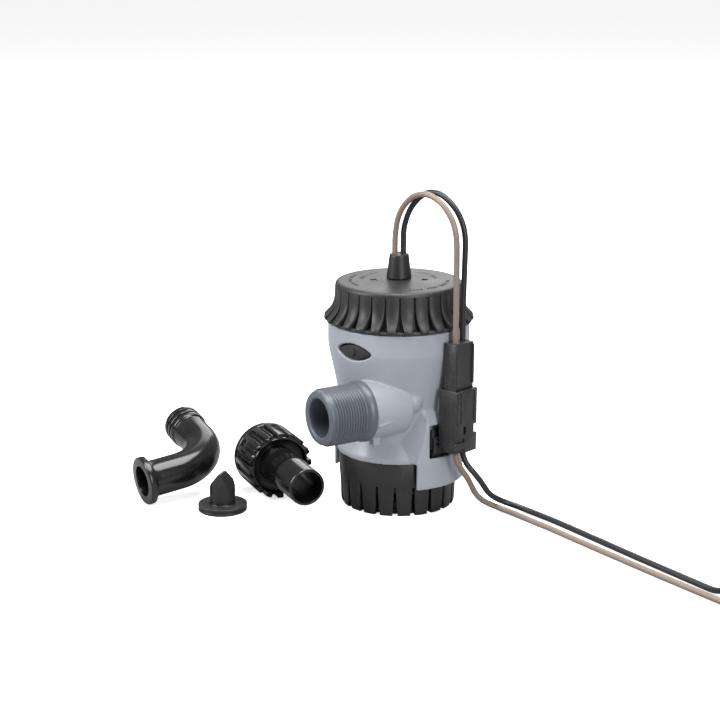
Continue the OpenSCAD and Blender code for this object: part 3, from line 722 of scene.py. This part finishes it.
connector_black = moulding("connector_black", (0.016, 0.016, 0.017), (0.0135, 0.0135, 0.0145), (0.09, 0.09, 0.09),
                           rough=(0.28, 0.36), grain=0.08, fineness=2400, wear=0.35, dust=0.03)
socket = edged_copy("connector_socket", "socket_shell", 0.3)
plug = edged_copy("connector_plug", "plug_shell", 0.35)


def connector_rib(name, across, half):
    """A slim vertical rib on the outer face of the socket, rounded at its front."""
    rings = []
    for height, sink in ((rib_low, 0.35), (rib_low + 0.35, 0), (rib_high - 0.35, 0), (rib_high, 0.35)):
        face = socket_out + rib_proud - sink
        root = socket_out - 0.3
        rings.append([(root, across - half, height), (face - 0.15, across - half, height),
                      (face, across - half + 0.18, height), (face, across + half - 0.18, height),
                      (face - 0.15, across + half, height), (root, across + half, height)])
    rib = lofted(name, rings)
    return placed(rib, Matrix.Rotation(plug_angle, 4, "Z"))


socket_out, rib_proud, rib_low, rib_high = 46.4, 0.5, 50.4, 66.6
ribs = [connector_rib(f"socket_rib_{k}", across, half)
        for k, (across, half) in enumerate(((-6.4, 0.55), (-4.2, 0.4), (5.9, 0.5)))]
socket = joined("socket_shell", [socket] + ribs)
dress(socket, connector_black, "root", "nylon_black", "connector_socket")
dress(plug, connector_black, "root", "nylon_black", "connector_plug")


# ---- Coil tie ----
# Black nylon cable tie that holds the spare turns of both supply wires together:
# a flat strap round the bundle, its ratchet head and the short cut end.

strap_back, strap_wide, strap_thick = 63.75, 4.5, 0.8
corner_r = 0.8
corners = ((207.6, 12.1, 90), (207.6, 0.8, 0), (195.6, 0.8, -90), (195.6, 12.1, -180))
outline = []
for across, height, first in corners:
    for step in range(0, 91, 30):
        turn = math.radians(first - step)
        outline.append((across + corner_r * math.cos(turn), strap_back, height + corner_r * math.sin(turn)))
strap = shaped_loop("strap", [Vector(p) * MM for p in outline])
active(strap)
bpy.ops.object.mode_set(mode="EDIT")
bpy.ops.mesh.select_all(action="SELECT")
bpy.ops.mesh.edge_face_add()
bpy.ops.mesh.inset(thickness=strap_thick * MM)
bpy.ops.mesh.delete(type="FACE")
bpy.ops.mesh.select_all(action="SELECT")
bpy.ops.mesh.extrude_region_move(TRANSFORM_OT_translate={"value": (0, strap_wide * MM, 0)})
bpy.ops.mesh.select_all(action="SELECT")
bpy.ops.mesh.normals_make_consistent(inside=False)
bpy.ops.object.mode_set(mode="OBJECT")
tie_parts = [strap]
for size, middle in (((5.6, 6.2, 3.6), (200.4, 66, 13.9)), ((7.5, 4.2, 0.9), (205.8, 66, 14.6)),
                     ((3.2, 1, 0.8), (201.2, 64.2, 15.8)), ((3.2, 1, 0.8), (201.2, 67.8, 15.8))):
    deselect()
    bpy.ops.mesh.primitive_cube_add(size=1, location=Vector(middle) * MM, scale=Vector(size) * MM)
    block = bpy.context.object
    bpy.ops.object.transform_apply(location=True, rotation=False, scale=True)
    rounded(block, 0.35, 2)
    tie_parts.append(block)
tie = joined("coil_tie", tie_parts)
smooth_shaded(tie, 40)
dress(tie, nylon_black, "root", "nylon_black")


# ---- Loose outlet elbow ----
# Glossy black quarter bend that fits the outlet under the union nut: a flange at
# one end and two sealing bands at the other.

fitting_black = moulding("fitting_black", (0.006, 0.006, 0.0063), (0.0045, 0.0045, 0.0048), (0.03, 0.03, 0.03),
                         rough=(0.16, 0.25), grain=0.03, fineness=900, wear=0.2, dust=0.01, coat=0.15)


def piped(name, stations, place_of, where, sides=48):
    """A closed pipe wall drawn through (distance, radius) stations along a centre line."""
    rings = []
    for distance, radius in stations:
        centre, across, upward = place_of(distance)
        rings.append([centre + (across * math.cos(2 * math.pi * k / sides)
                                + upward * math.sin(2 * math.pi * k / sides)) * radius for k in range(sides)])
    piece = lofted(name, rings, filled=False)
    active(piece)
    bpy.ops.object.mode_set(mode="EDIT")
    bpy.ops.mesh.select_all(action="DESELECT")
    bpy.ops.mesh.select_mode(type="EDGE")
    bpy.ops.mesh.select_non_manifold()
    bpy.ops.mesh.bridge_edge_loops()
    bpy.ops.mesh.select_all(action="SELECT")
    bpy.ops.mesh.normals_make_consistent(inside=False)
    bpy.ops.mesh.select_mode(type="VERT")
    bpy.ops.object.mode_set(mode="OBJECT")
    placed(piece, where)
    smooth_shaded(piece)
    return piece


leg_a, bend_r, leg_b = 19.9, 23, 21.4
bend_end = leg_a + bend_r * math.pi / 2


def elbow_line(distance):
    upward = Vector((0, 0, 1))
    if distance <= leg_a:
        return Vector((distance, 0, 0)), Vector((0, 1, 0)), upward
    if distance >= bend_end:
        return Vector((leg_a + bend_r, bend_r + distance - bend_end, 0)), Vector((-1, 0, 0)), upward
    turn = (distance - leg_a) / bend_r
    centre = Vector((leg_a + bend_r * math.sin(turn), bend_r - bend_r * math.cos(turn), 0))
    return centre, Vector((-math.sin(turn), math.cos(turn), 0)), upward


flange = [(0, 8.1), (0.02, 11.9), (0.12, 12.25), (0.5, 12.55), (0.9, 12.6), (2.8, 12.6), (3.2, 12.5), (3.5, 12.2),
          (3.62, 11.8), (3.7, 10.8), (3.95, 10.1), (4.5, 9.7), (5.4, 9.52), (8, 9.5), (13, 9.5)]
bend = [(leg_a + bend_r * math.pi / 2 * k / 22, 9.5) for k in range(23)]
spigot_end = [(3, 9.5), (9.4, 9.5), (9.8, 9.6), (10.2, 10.1), (10.8, 10.35), (12.7, 10.4), (12.95, 10.3),
              (13.05, 9.3), (13.9, 9.3), (14, 10.3), (14.25, 10.4), (16, 10.4), (16.25, 10.3), (16.35, 9.3),
              (17.2, 9.3), (17.3, 10.3), (17.55, 10.38), (19.4, 10.3), (20.5, 10.0), (21.1, 9.5), (21.38, 8.9),
              (21.4, 8.4), (21.2, 8.0), (20.6, 7.9), (10, 7.9)]
inner = [(bend_end - bend_r * math.pi / 2 * k / 16, 7.9) for k in range(17)] + [(9, 7.9), (0.5, 7.9)]
elbow_place = (Matrix.Translation((-0.0603, -0.1177, 0.01255)) @ Matrix.Rotation(math.radians(88), 4, "Z")
               @ Matrix.Rotation(math.radians(-6), 4, "Y") @ Matrix.Rotation(math.radians(12.5), 4, "X"))
elbow = piped("elbow_pipe", flange + bend + [(bend_end + at, r) for at, r in spigot_end] + inner,
              elbow_line, elbow_place)
dress(elbow, fitting_black, "elbow", "fitting_black", "outlet_elbow")


# ---- Union nut and hose tail ----
# The nut clamps the tail's flange on the outlet thread. Sixteen tall grip ribs end
# as teeth at its front face, with a low rib in each pocket between them.

tail_place = (Matrix.Translation((-0.031, -0.0525, 0.0175)) @ Matrix.Rotation(math.radians(-8.3), 4, "Z")
              @ Matrix.Rotation(math.radians(90), 4, "Y"))
nut_profile = [
    (10.1, -4.2), (13.9, -4.2), (14.3, -3.9), (14.4, -0.6), (14.5, -0.15), (14.7, 0), (15.0, -0.02), (15.2, -0.25),
    (15.3, -0.8), (15.3, -18.6), (15.9, -19.2), (16.9, -19.6), (17.3, -20.2), (17.45, -21.2), (17.42, -22.4),
    (17.2, -23.4), (16.7, -24.3), (16.0, -24.85), (15.3, -25), (14.95, -24.7), (14.9, -24), (14.9, -7.4),
    (10.1, -7.4)]
nut_shell = turned("nut_shell", nut_profile, tail_place, steps=128)


def grip_rib(name, half, height, back_end, front_end):
    """A straight rib with rounded shoulders, low at its two ends."""
    rings = []
    for along, drop in ((back_end, 0.9), (back_end + 0.3, 0.25), (back_end + 0.9, 0), (front_end - 0.35, 0),
                        (front_end - 0.1, 0.06), (front_end, 0.2)):
        top = height - drop
        rings.append([(14.9, -half, along), (top - 0.45, -half, along), (top - 0.12, -half + 0.14, along),
                      (top, -half + 0.45, along), (top, half - 0.45, along), (top - 0.12, half - 0.14, along),
                      (top - 0.45, half, along), (14.9, half, along)])
    rib = lofted(name, rings)
    smooth_shaded(rib, 50)
    return placed(rib, tail_place)


tall_ribs = copies_round(grip_rib("tall_rib", 1.55, 17.42, -21.2, -0.02), 16, tail_place)
low_rib = grip_rib("low_rib", 0.7, 16.55, -18.2, -3.2)
low_rib.data.transform(tail_place @ Matrix.Rotation(math.radians(11.25), 4, "Z") @ tail_place.inverted())
low_ribs = copies_round(low_rib, 16, tail_place)
nut = joined("union_nut_body", [nut_shell] + tall_ribs + low_ribs)
dress(nut, fitting_black, "nut", "fitting_black", "union_nut")

tail_profile = [
    (7.95, 36.4), (8.2, 36.85), (8.7, 37), (9.1, 36.95), (9.4, 36.6), (9.5, 36.1), (9.5, 19.5), (9.62, 18.9),
    (9.66, 18.2), (9.66, 17.4), (9.5, 16.8), (9.5, 4.2), (9.75, 3.2), (9.8, 2.6), (9.8, -7.8), (14, -7.8),
    (14.2, -8), (14.2, -10.2), (14, -10.4), (7.9, -10.4), (7.9, 20)]
tail = turned("tail_pipe", tail_profile, tail_place, steps=96)
dress(tail, fitting_black, "tail", "fitting_black", "hose_tail")


# ---- Check valve ----
# A soft rubber duckbill that sits in the hose joint: a grooved flange, a neck and
# two lips that meet in a straight slit at the top.

valve_rubber = moulding("valve_rubber", (0.011, 0.011, 0.0115), (0.008, 0.008, 0.0085), (0.03, 0.03, 0.03),
                        rough=(0.3, 0.42), grain=0.12, fineness=1500, wear=0.1, dust=0.05)
valve = softened("check_valve", "duckbill", 0.22, 5, 0.6)
dress(valve, valve_rubber, "valve", "rubber_black", "check_valve")


# ---- Inner pieces and wire ends ----
# The motor, rotor, seals, terminals and stripped wire ends keep the shape that the
# model gives them, each in the finish of its own material: bare metal, magnet
# ferrite, carbon, phenolic board or seal rubber.

def metal(name, colour, dark, rough, grain=0.1, scale=900):
    """A bare metal with fine tool marks and slight tarnish."""
    material, tree, shader = plain_material(name)
    step = add_group(tree, mould_grain, Fineness=scale)
    tree.links.new(add_mix(tree, step.outputs["Mottle"], colour, dark), shader.inputs["Base Color"])
    tree.links.new(add_range(tree, step.outputs["Mottle"], 0, 1, rough[0], rough[1]), shader.inputs["Roughness"])
    shader.inputs["Metallic"].default_value = 1
    bump = tree.nodes.new("ShaderNodeBump")
    bump.inputs["Strength"].default_value = grain
    bump.inputs["Distance"].default_value = 0.00005
    tree.links.new(step.outputs["Height"], bump.inputs["Height"])
    tree.links.new(bump.outputs["Normal"], shader.inputs["Normal"])
    return material


inner_finishes = {
    "motor_steel": metal("motor_steel", (0.5, 0.5, 0.52), (0.36, 0.36, 0.38), (0.28, 0.42)),
    "shaft_steel": metal("shaft_steel", (0.62, 0.62, 0.64), (0.5, 0.5, 0.52), (0.16, 0.26)),
    "core_steel": metal("core_steel", (0.32, 0.32, 0.34), (0.22, 0.22, 0.23), (0.35, 0.5)),
    "copper": metal("copper", (0.85, 0.42, 0.24), (0.6, 0.26, 0.14), (0.25, 0.4)),
    "bronze": metal("bronze", (0.55, 0.38, 0.18), (0.4, 0.26, 0.12), (0.35, 0.5)),
    "tinned_copper": metal("tinned_copper", (0.75, 0.73, 0.68), (0.6, 0.57, 0.5), (0.25, 0.38)),
    "magnet_ferrite": moulding("magnet_ferrite", (0.055, 0.053, 0.052), (0.035, 0.034, 0.033), (0.12, 0.12, 0.12),
                               rough=(0.5, 0.7), grain=0.4, fineness=2500, wear=0.5, dust=0),
    "carbon": moulding("carbon", (0.03, 0.03, 0.03), (0.018, 0.018, 0.018), (0.1, 0.1, 0.1),
                       rough=(0.5, 0.65), grain=0.4, fineness=3000, wear=0.4, dust=0),
    "phenolic": moulding("phenolic", (0.42, 0.33, 0.2), (0.34, 0.26, 0.15), (0.5, 0.42, 0.3),
                         rough=(0.4, 0.55), grain=0.2, fineness=1800, wear=0.3, dust=0),
    "seal_grey": moulding("seal_grey", (0.09, 0.09, 0.095), (0.06, 0.06, 0.065), (0.14, 0.14, 0.14),
                          rough=(0.45, 0.6), grain=0.15, fineness=1500, wear=0.1, dust=0.05),
    "nylon_black": nylon_black,
    "rubber_black": rubber_black,
    "fitting_black": fitting_black,
    "housing_grey": housing_grey,
    "wire_brown": brown_vinyl,
    "wire_black": black_vinyl,
}
for subpart in frame["record"]["subparts"]:
    node = nodes[subpart["node"]]
    if not node.hide_render:
        node.data.materials.clear()
        node.data.materials.append(inner_finishes[subpart["material_slot"]])
